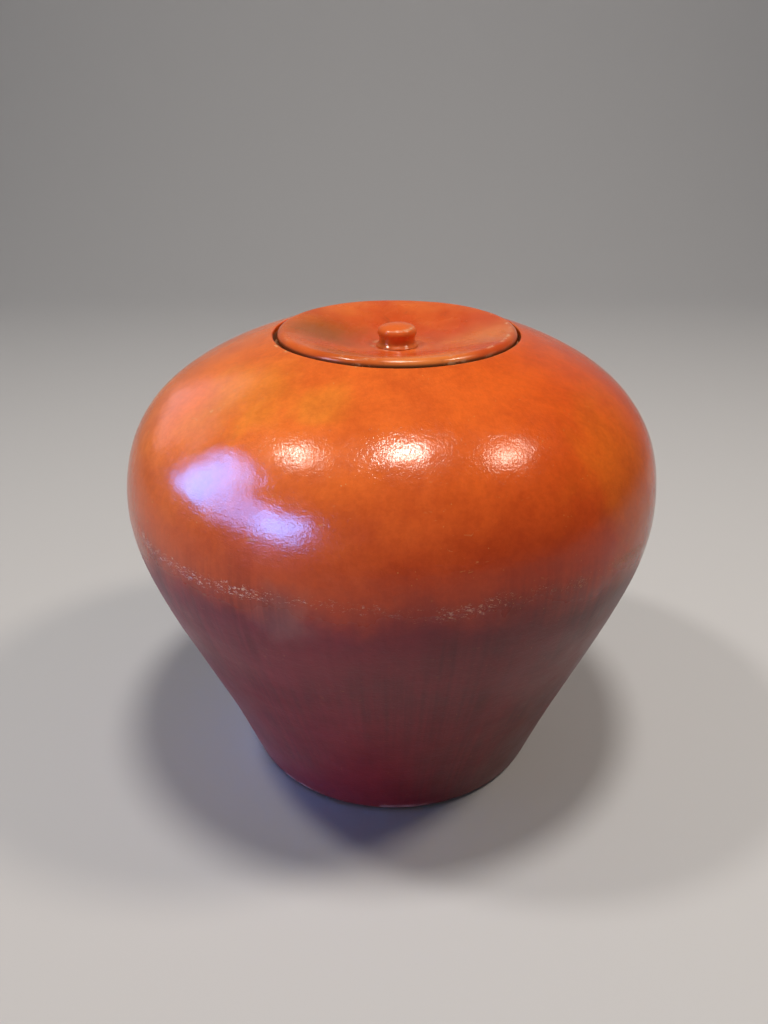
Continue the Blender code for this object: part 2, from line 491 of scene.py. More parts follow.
class Effects:
    """The effects that several finishes share, each a node group that is built once."""

    def __init__(self) -> None:
        """Build the groups."""
        self.wrap = self._wrap()
        self.relief = self._relief()
        self.wear = self._wear()
        self.cloud = self._cloud()
        self.marks = self._marks()

    @staticmethod
    def _open(name: str, numbers: Sequence[str], output: str, gives: Kind = Kind.NUMBER,
              vectors: Sequence[str] = ("Position",)) -> tuple[NodeSheet, dict[str, Socket], Socket]:
        """Start a group.

        Args:
            name: The group's name.
            numbers: Names of the inputs that take numbers.
            output: Name of the output.
            gives: What the output carries.
            vectors: Names of the inputs that take vectors. They come before the numbers.

        Returns:
            The sheet to lay nodes on, the input sockets by name, and the output socket.
        """
        group = bpy.data.node_groups.new(name, "ShaderNodeTree")
        for labels, kind in ((vectors, Kind.VECTOR), (numbers, Kind.NUMBER)):
            for label in labels:
                group.interface.new_socket(name=label, in_out="INPUT", socket_type=kind.value)
        group.interface.new_socket(name=output, in_out="OUTPUT", socket_type=gives.value)
        sheet = NodeSheet(group)
        entry = sheet.add("NodeGroupInput")
        leave = sheet.add("NodeGroupOutput")
        given = {label: entry.outputs[label] for label in (*vectors, *numbers)}
        return sheet, given, leave.inputs[0]

    def _wrap(self) -> bpy.types.NodeTree:
        """Build turned wrap: coordinates that run round the jar's axis and up it, with no seam."""
        sheet, given, out = self._open("turned_wrap", ["Around", "Up"], "Wrapped", Kind.VECTOR)
        x, y, z = sheet.parts(given["Position"])
        outwards = sheet.vector("NORMALIZE", sheet.joined(x, y, 0.0))
        round_part = sheet.scaled(outwards, given["Around"])
        up_part = sheet.joined(0.0, 0.0, sheet.math("MULTIPLY", z, given["Up"]))
        sheet.feed(out, sheet.vector("ADD", round_part, up_part))
        return sheet.tree

    def _relief(self) -> bpy.types.NodeTree:
        """Build burnish relief: pebble strokes round the form, fine crinkle and slow dips."""
        sheet, given, out = self._open("burnish_relief", ["Strokes", "Crinkle", "Dips"], "Height")
        place = given["Position"]
        wrapped = sheet.effect(self.wrap, "Wrapped", position=place, around=7.0, up=260.0)
        strokes = sheet.noise(wrapped, 1.0, 2.0, 0.55)
        drawn_out = sheet.effect(self.wrap, "Wrapped", position=place, around=52.0, up=760.0)
        crinkle = sheet.math("MULTIPLY_ADD", sheet.noise(drawn_out, 1.0, 2.0, 0.55, 0.8), 0.6,
                             sheet.math("MULTIPLY", sheet.noise(place, 560.0, 2.0, 0.6, 1.0), 0.7))
        dips = sheet.noise(place, 90.0, 1.0, 0.4)
        total = sheet.math("MULTIPLY", strokes, given["Strokes"])
        total = sheet.math("MULTIPLY_ADD", crinkle, given["Crinkle"], total)
        sheet.feed(out, sheet.math("MULTIPLY_ADD", dips, given["Dips"], total))
        return sheet.tree

    def _wear(self) -> bpy.types.NodeTree:
        """Build edge wear and painted highlight: a broken line along the circle at a radius and a
        height.
        """
        sheet, given, out = self._open("edge_wear_and_highlight", ["Radius", "Height", "Width", "Breaks"], "Mask")
        x, y, z = sheet.parts(given["Position"])
        radius = sheet.length(x, y)
        out_by = sheet.math("SUBTRACT", radius, given["Radius"])
        up_by = sheet.math("SUBTRACT", z, given["Height"])
        away = sheet.length(out_by, up_by)
        line = sheet.remap(away, 0.0, given["Width"], 1.0, 0.0)
        grain = sheet.noise(given["Position"], 160.0, 4.0, 0.7)
        patches = sheet.noise(given["Position"], 22.0, 2.0, 0.5)
        torn = sheet.math("MULTIPLY_ADD", patches, 0.6, sheet.math("MULTIPLY", grain, 0.7))
        kept = sheet.remap(torn, given["Breaks"], sheet.math("ADD", given["Breaks"], 0.12))
        sheet.feed(out, sheet.math("MULTIPLY", line, kept, clamp=True))
        return sheet.tree

    def _cloud(self) -> bpy.types.NodeTree:
        """Build fire cloud: a soft ragged patch round a point, as the kiln's flames leave."""
        sheet, given, out = self._open("fire_cloud", ["Size", "Ragged"], "Mask",
                                       vectors=("Position", "Centre"))
        away = sheet.vector("DISTANCE", given["Position"], given["Centre"])
        share = sheet.math("DIVIDE", away, given["Size"])
        drift = sheet.noise(given["Position"], 26.0, 4.0, 0.6, 0.8)
        drift = sheet.math("SUBTRACT", drift, 0.5)
        share = sheet.math("MULTIPLY_ADD", drift, given["Ragged"], share)
        sheet.feed(out, sheet.remap(share, 0.1, 1.0, 1.0, 0.0))
        return sheet.tree

    def _marks(self) -> bpy.types.NodeTree:
        """Build pale marks: scattered specks, and short scratches that run round the form."""
        sheet, given, out = self._open("pale_marks", ["Specks", "Scratches"], "Mask")
        place = given["Position"]
        where = sheet.noise(place, 31.0, 2.0, 0.5)
        speck = sheet.remap(sheet.cells(place, 364.0), 0.06, 0.13, 1.0, 0.0)
        few = sheet.remap(sheet.noise(place, 75.0, 1.0), 0.60, 0.66)
        speck = sheet.math("MULTIPLY", sheet.math("MULTIPLY", speck, few), given["Specks"])
        long_way = sheet.effect(self.wrap, "Wrapped", position=place, around=24.0, up=620.0)
        scratch = sheet.noise(long_way, 1.0, 2.0, 0.5, 1.4)
        scratch = sheet.remap(scratch, 0.70, 0.735)
        seldom = sheet.remap(where, 0.50, 0.62)
        scratch = sheet.math("MULTIPLY", sheet.math("MULTIPLY", scratch, seldom),
                             given["Scratches"])
        sheet.feed(out, sheet.math("ADD", speck, scratch, clamp=True))
        return sheet.tree


# --------------------------------------------------------------------------------------------
# Finishes
# --------------------------------------------------------------------------------------------


@dataclass(frozen=True)
class Patch:
    """A soft patch of another colour in a slip: where it is, how big, how strong and its colour."""

    centre: tuple[float, float, float]
    size: float
    share: float
    colour: Colour


@dataclass(frozen=True)
class Wear:
    """Wear along a round edge, and on the jar's foot a painted highlight: the edge's radius and
    height, and how wide and broken the line is.
    """

    radius: float
    height: float
    width: float
    breaks: float


class Dressing:
    """A finish being laid on: its node sheet, its shader and the place that its patterns read."""

    def __init__(self, name: str, effects: Effects) -> None:
        """Start a material.

        Args:
            name: Its name.
            effects: The shared effects.
        """
        self.material = bpy.data.materials.new(name)
        self.material.use_nodes = True
        self.shader = self.material.node_tree.nodes["Principled BSDF"]
        self.sheet = NodeSheet(self.material.node_tree)
        self.place = self.sheet.add("ShaderNodeTexCoord").outputs["Object"]
        self.effects = effects

    def wrapped(self, around: float, up: float) -> Socket:
        """Return coordinates that run round the form and up it."""
        return self.sheet.effect(self.effects.wrap, "Wrapped", position=self.place, around=around,
                                 up=up)

    def noise(self, *pattern: float) -> Socket:
        """Return a cloudy value about 0.5, from a scale, detail, roughness and warp."""
        return self.sheet.noise(self.place, *pattern)

    def clouds(self, pattern: tuple[float, ...], *span: float) -> Socket:
        """Return a cloudy value eased from one range into another."""
        return self.sheet.remap(self.noise(*pattern), *span)

    def worn(self, wear: Wear) -> Socket:
        """Return a mask of a broken line along a round edge: wear, and on the jar's foot a painted
        highlight.
        """
        return self.sheet.effect(self.effects.wear, "Mask", position=self.place,
                                 radius=wear.radius, height=wear.height, width=wear.width,
                                 breaks=wear.breaks)

    def marks(self, specks: float, scratches: float) -> Socket:
        """Return a mask of pale specks and scratches."""
        return self.sheet.effect(self.effects.marks, "Mask", position=self.place, specks=specks,
                                 scratches=scratches)

    def relief(self, strokes: float, crinkle: float, dips: float) -> Socket:
        """Return the height pattern of a burnished surface."""
        return self.sheet.effect(self.effects.relief, "Height", position=self.place,
                                 strokes=strokes, crinkle=crinkle, dips=dips)

    def patched(self, colour: Socket, patches: Sequence[Patch], ragged: float) -> Socket:
        """Lay patches over a colour.

        Args:
            colour: The colour under them.
            patches: The patches.
            ragged: How ragged their borders are.

        Returns:
            The colour with the patches in it.
        """
        for patch in patches:
            mask = self.sheet.effect(self.effects.cloud, "Mask", position=self.place,
                                     centre=patch.centre, size=patch.size, ragged=ragged)
            colour = self.sheet.lay(mask, colour, patch.colour, patch.share)
        return colour

    def done(self, colour: Socket, roughness: Socket, gloss: float, height: Socket,
             depth: float) -> bpy.types.Material:
        """Join the patterns to the shader.

        Args:
            colour: The colour.
            roughness: The roughness.
            gloss: The specular level.
            height: The height pattern of the bumps.
            depth: How deep a pattern step of one is, in metres.

        Returns:
            The finished material.
        """
        self.sheet.feed(self.shader.inputs["Base Color"], colour)
        self.sheet.feed(self.shader.inputs["Roughness"], roughness)
        self.shader.inputs["Specular IOR Level"].default_value = gloss
        bump = self.sheet.add("ShaderNodeBump")
        bump.inputs["Strength"].default_value = 1.0
        bump.inputs["Distance"].default_value = depth
        self.sheet.feed(bump.inputs["Height"], height)
        self.sheet.feed(self.shader.inputs["Normal"], bump.outputs["Normal"])
        return self.material


HONEY: Colour = (0.76, 0.165, 0.008)
OLIVE: Colour = (0.36, 0.090, 0.003)
OCHRE: Colour = (0.84, 0.270, 0.055)
RUBBED: Colour = (0.34, 0.135, 0.052)


@dataclass(frozen=True)
class JarSlip:
    """Burnished red slip on the outside of the jar, scuffed round the belly, and darkened down the
    wall by painted shade.

    Attributes:
        belly_height: Height of the scuffed line.
        lip: Wear on the mouth's lip.
        foot: A painted highlight along the foot's rounded edge, broken like wear.
        sag: How much higher the scuffed line's pattern is read at the sides than in front.
        tilt: How much higher again it is read at the right.
        wander: How far the change from the painted shade of the dark wall to the bright shoulder
            wanders up and down.
        shade_to_brick: Where the painted shade of the dark lower wall turns to the middle tone, from
            below the scuffed line to above it.
        orange_from: How far above the line the middle tone, itself partly painted shade, begins to
            turn to orange.
        orange_by: How far below the lip all is orange.
        streaks_from: Where the dark streaks come in, from above the line to below it.
        scuff_sway: How far the scuffed line sways up and down.
        scuff_reach: How far above and below its line the scuffing reaches.
    """

    belly_height: float
    lip: Wear
    foot: Wear
    # The slip's own colour is the orange. The two darker colours below it are painted shade, where
    # the overhead light falls off under the belly.
    orange: Colour = (0.78, 0.100, 0.007)
    brick_painted_shade: Colour = (0.48, 0.041, 0.005)
    oxblood_painted_shade: Colour = (0.168, 0.010, 0.008)
    bare: Colour = (0.62, 0.32, 0.07)
    chipped: Colour = (0.82, 0.36, 0.11)
    # Colour of the painted highlight on the foot's rounded edge.
    foot_highlight_tint: Colour = (0.40, 0.17, 0.10)
    streak_tint: Colour = (0.55, 0.42, 0.46)
    mottle_tint: Colour = (0.72, 0.58, 0.60)
    grain_tint: Colour = (0.62, 0.55, 0.55)
    patches: tuple[Patch, ...] = (
        Patch((-0.074, -0.068, 0.246), 40 * MM, 0.50, HONEY),
        Patch((-0.034, -0.088, 0.248), 20 * MM, 0.50, HONEY),
        Patch((0.118, -0.075, 0.212), 60 * MM, 0.60, HONEY),
        Patch((0.060, 0.110, 0.222), 70 * MM, 0.70, HONEY),
        Patch((-0.125, 0.050, 0.205), 48 * MM, 0.55, HONEY),
        Patch((-0.052, -0.139, 0.166), 24 * MM, 0.24, RUBBED),
        Patch((0.102, 0.088, 0.160), 26 * MM, 0.35, RUBBED))
    sag: float = 10.0 * MM
    tilt: float = 3.0 * MM
    wander: float = 34.0 * MM
    shade_to_brick: tuple[float, float] = (-22.0 * MM, 9.0 * MM)
    orange_from: float = 6.0 * MM
    orange_by: float = 14.0 * MM
    streaks_from: tuple[float, float] = (25.0 * MM, -12.0 * MM)
    scuff_sway: float = 26.0 * MM
    scuff_reach: float = 12.0 * MM
    gloss: float = 0.39
    relief_depth: float = 0.16 * MM

    def make(self, effects: Effects) -> bpy.types.Material:
        """Return the material.

        Args:
            effects: The shared effects.
        """
        on = Dressing("jar_burnished_slip", effects)
        sheet, line = on.sheet, self.belly_height
        height = self.slanting(on)
        drift = sheet.math("SUBTRACT", on.noise(24.0, 4.0, 0.6), 0.5)
        wandering = sheet.math("MULTIPLY_ADD", drift, self.wander, height)
        # Painted shade: the slip darkens down the wall from the orange shoulder to dark red-brown at
        # the foot.
        shade_fade_up_wall = sheet.remap(wandering, *(line + step for step in self.shade_to_brick))
        shoulder = sheet.remap(wandering, line + self.orange_from, self.lip.height - self.orange_by)
        colour = sheet.lay(shade_fade_up_wall, self.oxblood_painted_shade, self.brick_painted_shade)
        colour = sheet.lay(shoulder, colour, self.orange)
        colour = on.patched(colour, self.patches, 1.6)

        streaks = sheet.remap(sheet.noise(on.wrapped(46.0, 9.0), 1.0, 3.0, 0.6), 0.32, 0.70)
        low_down = sheet.remap(height, *(line + step for step in self.streaks_from), 0.05, 0.75)
        here = on.clouds((15.0, 2.0), 0.40, 0.62, 0.25, 1.0)
        streaks = sheet.math("MULTIPLY", sheet.math("MULTIPLY", streaks, here), low_down)
        mottle = on.clouds((30.0, 7.0, 0.70), 0.38, 0.64)
        grain = on.clouds((330.0, 3.0, 0.7), 0.36, 0.66)
        for mask, tint, strength in ((streaks, self.streak_tint, 1.0),
                                     (mottle, self.mottle_tint, 0.55),
                                     (grain, self.grain_tint, 0.22)):
            colour = sheet.lay(mask, colour, tint, strength, Laying.DARKEN)

        scuffs = self.scuffed_line(on, height)
        # The foot's broken line is a painted highlight on its rounded edge. The lip's line is wear.
        lip_wear, foot_highlight = on.worn(self.lip), on.worn(self.foot)
        for mask, over, strength in ((scuffs, self.chipped, 0.55), (lip_wear, self.bare, 0.8),
                                     (foot_highlight, self.foot_highlight_tint, 0.6),
                                     (on.marks(0.8, 0.35), self.bare, 0.6)):
            colour = sheet.lay(mask, colour, over, strength)

        dull = sheet.math("ADD", scuffs, sheet.math("ADD", lip_wear, foot_highlight), clamp=True)
        waxy = on.clouds((40.0, 4.0, 0.6), 0.3, 0.7, 0.13, 0.21)
        waxy = sheet.math("ADD", waxy, sheet.remap(shade_fade_up_wall, 0.0, 1.0, 0.20, 0.0))
        rough = sheet.math("MULTIPLY_ADD", dull, 0.3, waxy)
        relief = sheet.math("MULTIPLY_ADD", scuffs, -0.5, on.relief(0.5, 0.75, 1.1))
        return on.done(colour, rough, self.gloss, relief, self.relief_depth)

    def slanting(self, on: Dressing) -> Socket:
        """Return heights that read higher to both sides, so that the dipped line lies lower there."""
        side = on.sheet.parts(on.wrapped(1.0, 0.0))[0]
        rise = on.sheet.math("MULTIPLY", on.sheet.math("MULTIPLY", side, side), self.sag)
        rise = on.sheet.math("MULTIPLY_ADD", side, self.tilt, rise)
        return on.sheet.math("ADD", on.sheet.parts(on.place)[2], rise)

    def scuffed_line(self, on: Dressing, height: Socket) -> Socket:
        """Return a mask of the chips and scratches where the belly rubs on its neighbours."""
        sheet = on.sheet
        sway = sheet.math("SUBTRACT", on.noise(9.0, 2.0, 0.5), 0.5)
        level = sheet.math("MULTIPLY_ADD", sway, self.scuff_sway, height)
        away = sheet.math("ABSOLUTE", sheet.math("SUBTRACT", level, self.belly_height))
        band = sheet.remap(away, 0.0, self.scuff_reach, 1.0, 0.0)
        chips = sheet.noise(on.wrapped(60.0, 1000.0), 1.0, 5.0, 0.78, 1.0)
        thick = on.clouds((20.0, 2.0), 0.38, 0.62, 0.60, 0.53)
        bar = sheet.remap(band, 0.0, 1.0, 0.84, thick)
        return sheet.remap(chips, bar, sheet.math("ADD", bar, 0.07))


@dataclass(frozen=True)
class LidSlip:
    """Burnished slip on the lid or on its knob, smoked by the fire, worn by hands and darkened
    towards its lower side by painted shade.

    Attributes:
        name: The material's name.
        patches: Its patches of other colours.
        worn: Its worn edges.
        painted_shade_heights: Height below which it is painted dark as shade, and height above which
            not.
        painted_shade_share: How dark that painted shade is.
        shade_and_gloss_from: Radius outside which it takes the painted shade and hands have rubbed it
            shiny.
    """

    name: str
    patches: tuple[Patch, ...]
    worn: tuple[Wear, ...]
    painted_shade_heights: tuple[float, float]
    painted_shade_share: float
    shade_and_gloss_from: float
    red: Colour = (0.60, 0.080, 0.013)
    rose: Colour = (0.74, 0.160, 0.030)
    smoke_and_shade: Colour = (0.10, 0.040, 0.015)
    bare: Colour = (0.70, 0.40, 0.22)
    mottle_tint: Colour = (0.7, 0.6, 0.55)
    gloss: float = 0.38
    relief_depth: float = 0.16 * MM

    def make(self, effects: Effects) -> bpy.types.Material:
        """Return the material.

        Args:
            effects: The shared effects.
        """
        on = Dressing(self.name, effects)
        sheet = on.sheet
        colour = sheet.lay(on.clouds((17.0, 4.0, 0.6), 0.38, 0.66), self.red, self.rose)
        colour = on.patched(colour, self.patches, 1.2)
        smudge = on.clouds((62.0, 4.0, 0.6, 0.5), 0.60, 0.74)
        colour = sheet.lay(smudge, colour, self.smoke_and_shade, 0.30)
        x, y, z = sheet.parts(on.place)
        outer = sheet.remap(sheet.length(x, y), self.shade_and_gloss_from, self.shade_and_gloss_from + 2 * MM)
        # Painted shade, in the colour of the fire's smudges: darker towards the bottom of the lid's
        # rim and of the knob's sides.
        shaded_below = sheet.remap(z, *self.painted_shade_heights, self.painted_shade_share, 0.0)
        colour = sheet.lay(sheet.math("MULTIPLY", shaded_below, outer), colour, self.smoke_and_shade)
        mottle = on.clouds((120.0, 4.0, 0.65), 0.3, 0.7)
        colour = sheet.lay(mottle, colour, self.mottle_tint, 0.25, Laying.DARKEN)
        edges = on.worn(self.worn[0])
        for wear in self.worn[1:]:
            edges = sheet.math("ADD", edges, on.worn(wear), clamp=True)
        colour = sheet.lay(edges, colour, self.bare, 0.75)
        colour = sheet.lay(on.marks(0.9, 0.3), colour, self.bare, 0.6)
        waxy = on.clouds((55.0, 4.0, 0.6), 0.3, 0.7, 0.20, 0.32)
        waxy = sheet.math("MULTIPLY_ADD", outer, -0.09, waxy)
        rough = sheet.math("MULTIPLY_ADD", edges, 0.2, waxy)
        relief = on.relief(0.03, 0.0, 0.12)
        return on.done(colour, rough, self.gloss, relief, self.relief_depth)


@dataclass(frozen=True)
class BareClay:
    """Fired clay with no slip: inside the jar, on the seat and under the lid and the foot."""

    name: str = "bare_fired_clay"
    clay: Colour = (0.40, 0.150, 0.062)
    pale: Colour = (0.52, 0.240, 0.115)
    sooty: Colour = (0.16, 0.070, 0.036)
    gloss: float = 0.3
    relief_depth: float = 0.22 * MM

    def make(self, effects: Effects) -> bpy.types.Material:
        """Return the material.

        Args:
            effects: The shared effects.
        """
        on = Dressing(self.name, effects)
        sheet = on.sheet
        broad = on.clouds((19.0, 4.0, 0.6), 0.35, 0.68)
        colour = sheet.lay(broad, self.clay, self.pale)
        smoked = on.clouds((11.0, 3.0, 0.55), 0.55, 0.72)
        colour = sheet.lay(smoked, colour, self.sooty, 0.5)
        grit = on.clouds((520.0, 3.0, 0.7), 0.58, 0.70)
        colour = sheet.lay(grit, colour, self.sooty, 0.35)
        rough = sheet.remap(broad, 0.0, 1.0, 0.78, 0.90)
        relief = sheet.math("MULTIPLY_ADD", grit, -0.5, on.relief(1.6, 0.9, 0.6))
        return on.done(colour, rough, self.gloss, relief, self.relief_depth)


# --------------------------------------------------------------------------------------------
# The jar
# --------------------------------------------------------------------------------------------


@dataclass
class JarBody:
    """The jar: floor, drawn wall, shoulder and mouth.

    Attributes:
        belly: Radius and height of the widest ring.
        lip_top: Height of the lip.
        mouth: Radius of the recess that takes the lid.
        rings: Number of rings up the shoulder, the wall, a corner and a flat.
        hub: Radius of a flat's innermost ring, as a share of the flat's.
        lean_reach: How far the belly's lean reaches up and down, and how far the mouth's.
        dips_between: Height below which the wall is even, and height by which it dips fully.
    """

    belly: Point
    lip_top: float
    mouth: float
    sides: int = 112
    lip_rounding: float = 1.2 * MM
    foot_flat: float = 83.5 * MM
    foot_rounding: float = 7.0 * MM
    wall_lean: float = 20.0
    wall_pull: float = 90.0 * MM
    belly_pull_down: float = 36.0 * MM
    belly_pull_up: float = 54.0 * MM
    shoulder_slope: float = 20.0
    shoulder_pull: float = 46.0 * MM
    wall_thickness: float = 7.0 * MM
    mouth_thickness: float = 9.0 * MM
    thickening: float = 110.0 * MM
    floor: float = 9.0 * MM
    floor_radius: float = 70.0 * MM
    corner_height: float = 26.0 * MM
    recess_ledge: float = 6.0 * MM
    bend_pull: tuple[float, float] = (10.0 * MM, 8.0 * MM)
    rings: tuple[int, int, int, int] = (22, 20, 6, 4)
    hub: float = 0.25
    belly_off: float = 1.5 * MM
    lean_reach: tuple[float, float] = (130.0 * MM, 90.0 * MM)
    dips_between: tuple[float, float] = (10.0 * MM, 40.0 * MM)
    slip_depth: float = 3.0 * MM
    scuffs_above_belly: float = 3.0 * MM
    unevenness: Unevenness = Unevenness(depth=0.9 * MM, spread=60 * MM)

    def lip_centre(self) -> Point:
        """Return the centre of the lip's rounding."""
        return (self.mouth + self.lip_rounding, self.lip_top - self.lip_rounding)

    def outside(self) -> list[Point]:
        """Return the outline from the lip's outer side down to the foot's rounding."""
        top = aim(self.lip_centre(), 90.0 - self.shoulder_slope, self.lip_rounding)
        foot = aim((self.foot_flat, self.foot_rounding), -self.wall_lean, self.foot_rounding)
        above = (self.belly[0], self.belly[1] + self.belly_pull_up)
        below = (self.belly[0], self.belly[1] - self.belly_pull_down)
        shoulder = curve(top, aim(top, -self.shoulder_slope, self.shoulder_pull), above,
                         self.belly, self.rings[0])
        wall = curve(self.belly, below, aim(foot, 90.0 - self.wall_lean, self.wall_pull), foot,
                     self.rings[1])
        return shoulder + wall[1:]

    def thickness_at(self, radius: float) -> float:
        """Return the wall's thickness at a radius."""
        share = (self.thickening - radius) / (self.thickening - self.mouth)
        share = min(max(share, 0.0), 1.0)
        swell = share * share * (3.0 - 2.0 * share)
        return self.wall_thickness + (self.mouth_thickness - self.wall_thickness) * swell

    def inside(self) -> list[Point]:
        """Return the outline from the middle of the floor up to the foot of the recess."""
        wall = [p for p in set_in(self.outside(), self.thickness_at)
                if p[1] > self.corner_height and p[0] > self.mouth + self.recess_ledge][::-1]
        edge = (self.floor_radius, self.floor)
        bend = curve(edge, (edge[0] + self.bend_pull[0], self.floor),
                     aim(wall[0], -90.0 - self.wall_lean, self.bend_pull[1]), wall[0], self.rings[2])
        floor = straight((self.floor_radius * self.hub, self.floor), edge, self.rings[3])
        slope = math.tan(math.radians(self.shoulder_slope))
        recess_foot = (self.mouth, wall[-1][1] + (wall[-1][0] - self.mouth) * slope)
        return [(0.0, self.floor)] + floor[:-1] + bend[:-1] + wall + [recess_foot]

    def outline(self) -> list[Point]:
        """Return the whole section, from the middle of the floor to the middle of the foot."""
        inside = self.inside()
        lip = corner(self.lip_centre(), self.lip_rounding, 180.0, 90.0 - self.shoulder_slope,
                     self.rings[2])
        recess = straight(inside[-1], lip[0], self.rings[3])
        foot = corner((self.foot_flat, self.foot_rounding), self.foot_rounding, -self.wall_lean,
                      -90.0, self.rings[2])
        under = straight((self.foot_flat, 0.0), (self.foot_flat * self.hub, 0.0), self.rings[3])
        return (inside[:-1] + recess[:-1] + lip + self.outside()[1:] + foot[1:] + under[1:]
                + [(0.0, 0.0)])

    def is_inside(self, middle: Vector, normal: Vector) -> bool:
        """Tell whether a face belongs to the bare inside."""
        outwards = Vector((middle.x, middle.y, 0.0))
        inner_wall = outwards.dot(normal) < 0.0 and middle.z < self.lip_top - self.slip_depth
        under_shoulder = normal.z < -0.3 and middle.z > self.belly[1]
        floor = normal.z > 0.5 and middle.z < self.corner_height
        return inner_wall or under_shoulder or floor

    def build(self, effects: Effects) -> bpy.types.Object:
        """Draw the jar up, work its surface, dress it and hang it on its body.

        Args:
            effects: The shared effects.

        Returns:
            The finished piece.
        """
        piece = draw_up("jar_wall", self.outline(), self.sides)
        smooth(piece, 1)
        lean(piece, self.belly[1], Vector((-self.belly_off, 0.0, 0.0)), self.lean_reach[0])
        lean(piece, self.lip_top, MOUTH_OFF, self.lean_reach[1])
        low, high = self.dips_between
        self.unevenness.work(piece, lambda at: min(1.0, max(0.0, (at.z - low) / (high - low))))
        lip = Wear(self.mouth + self.lip_rounding, self.lip_top, 1.6 * MM, 0.70)
        # Painted highlight: a lighter broken line along the foot's rounded edge.
        foot = Wear(self.foot_flat + 0.86 * self.foot_rounding, 0.5 * self.foot_rounding,
                    4.0 * MM, 0.60)
        slip = JarSlip(belly_height=self.belly[1] + self.scuffs_above_belly, lip=lip,
                       foot=foot).make(effects)
        bare = BareClay().make(effects)

        def choose(middle: Vector, normal: Vector) -> int:
            """Pick the slip outside, and bare clay inside and under the foot."""
            return int(self.is_inside(middle, normal) or middle.z < 0.3 * MM)

        dress(piece, [slip, bare], choose)
        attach(piece, "jar")
        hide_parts("jar_body")
        return piece


@dataclass
class SeatRing:
    """The coil inside the mouth that carries the lid."""

    box: tuple[Vector, Vector]
    mouth: float
    bore: float = 56.0 * MM
    edge_rounding: float = 1.2 * MM
    sides: int = 112

    def outline(self) -> list[Point]:
        """Return the section, down its outer side, along the smear and back up the bore."""
        low, high = self.box
        top, toe = high.z, high.x
        outer = self.mouth + 0.8 * MM
        smear = curve((outer, top - 2.5 * MM), (outer + 3 * MM, top - 3.5 * MM),
                      (toe - 3 * MM, low.z + 3 * MM), (toe - 1 * MM, low.z + 1.6 * MM), 4)
        belly = curve((toe - 1 * MM, low.z + 1.0 * MM), (toe - 9 * MM, low.z - 0.4 * MM),
                      (self.bore, low.z - 2 * MM), (self.bore, top - 3.5 * MM), 7)
        land_start = self.bore + self.edge_rounding
        edge = corner((land_start, top - self.edge_rounding), self.edge_rounding, 180.0, 90.0, 4)
        land = straight((land_start, top), (outer, top), 4)
        return land[::-1][:1] + smear + belly + edge + land[1:-1]

    def build(self, bare: bpy.types.Material) -> bpy.types.Object:
        """Draw the ring, dress it and hang it on the jar.

        Args:
            bare: The bare clay.

        Returns:
            The finished piece.
        """
        piece = draw_ring("seat_coil", self.outline(), self.sides)
        smooth(piece, 1)
        Unevenness(depth=0.5 * MM, spread=24 * MM).work(piece, lambda at: 1.0)
        shift(piece, MOUTH_OFF)
        dress(piece, [bare], lambda middle, normal: 0)
        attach(piece, "jar")
        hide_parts("lid_seat_ring")
        return piece


@dataclass
class SaucerLid:
    """The lid: a shallow dish with a thick rounded rim."""

    box: tuple[Vector, Vector]
    sides: int = 96
    rim_rounding: float = 4.0 * MM
    band_slope: float = 9.0
    band_pull: float = 18.0 * MM
    dish_depth: float = 10.7 * MM
    dish_pull: float = 34.0 * MM
    thickness: float = 7.0 * MM
    land_inner: float = 57.0 * MM
    under_pull: float = 22.0 * MM

    def dish_height(self) -> float:
        """Return the height of the middle of the dish."""
        return self.box[1].z - self.dish_depth

    def outline(self) -> list[Point]:
        """Return the section, from the middle of the dish over the rim and back underneath."""
        radius, top = self.box[1].x, self.box[1].z
        centre = (radius - self.rim_rounding, top - self.rim_rounding)
        rim = corner(centre, self.rim_rounding, 90.0 + self.band_slope, -90.0, 14)
        middle = (0.0, self.dish_height())
        dish = curve(middle, (self.dish_pull, middle[1]),
                     aim(rim[0], 180.0 + self.band_slope, self.band_pull), rim[0], 20)
        land = straight(rim[-1], (self.land_inner, rim[-1][1]), 3)
        below = (0.0, middle[1] - self.thickness)
        under = curve(land[-1], (self.land_inner - 6 * MM, land[-1][1] - 2.5 * MM),
                      (self.under_pull, below[1]), below, 14)
        return dish[:-1] + rim + land[1:] + under[1:]

    def build(self, effects: Effects, bare: bpy.types.Material) -> bpy.types.Object:
        """Draw the lid, dress it and hang it on its body.

        Args:
            effects: The shared effects.
            bare: The bare clay, for its underside.

        Returns:
            The finished piece.
        """
        piece = draw_up("saucer_lid", self.outline(), self.sides)
        smooth(piece, 1)
        Unevenness(depth=0.4 * MM, spread=40 * MM).work(piece, lambda at: 1.0)
        shift(piece, LID_OFF)
        radius, top = self.box[1].x, self.box[1].z
        finish = LidSlip(
            name="lid_burnished_slip",
            patches=(Patch((-0.040, 0.010, top), 36 * MM, 0.90, OLIVE),
                     Patch((-0.022, -0.042, top), 26 * MM, 0.60, OLIVE),
                     Patch((0.014, -0.058, top), 36 * MM, 0.65, OCHRE),
                     Patch((0.048, -0.006, top), 30 * MM, 0.55, OCHRE)),
            worn=(Wear(radius - 3.2 * MM, top - 0.2 * MM, 1.8 * MM, 0.71),
                  Wear(radius - 0.6 * MM, top - 3.0 * MM, 1.6 * MM, 0.72),
                  Wear(12 * MM, self.dish_height(), 2.0 * MM, 0.66)),
            # Painted shade on the rim's lower side, for the shadow in the gap between the rim and the
            # mouth.
            painted_shade_heights=(top - 3.3 * MM, top - 1.9 * MM), painted_shade_share=0.86, shade_and_gloss_from=radius - 6 * MM)
        land = top - 2 * self.rim_rounding

        def choose(middle: Vector, normal: Vector) -> int:
            """Pick the slip above, and bare clay underneath."""
            return int(normal.z < -0.2 and middle.z < land + 1 * MM)

        dress(piece, [finish.make(effects), bare], choose)
        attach(piece, "lid")
        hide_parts("lid_dish")
        return piece


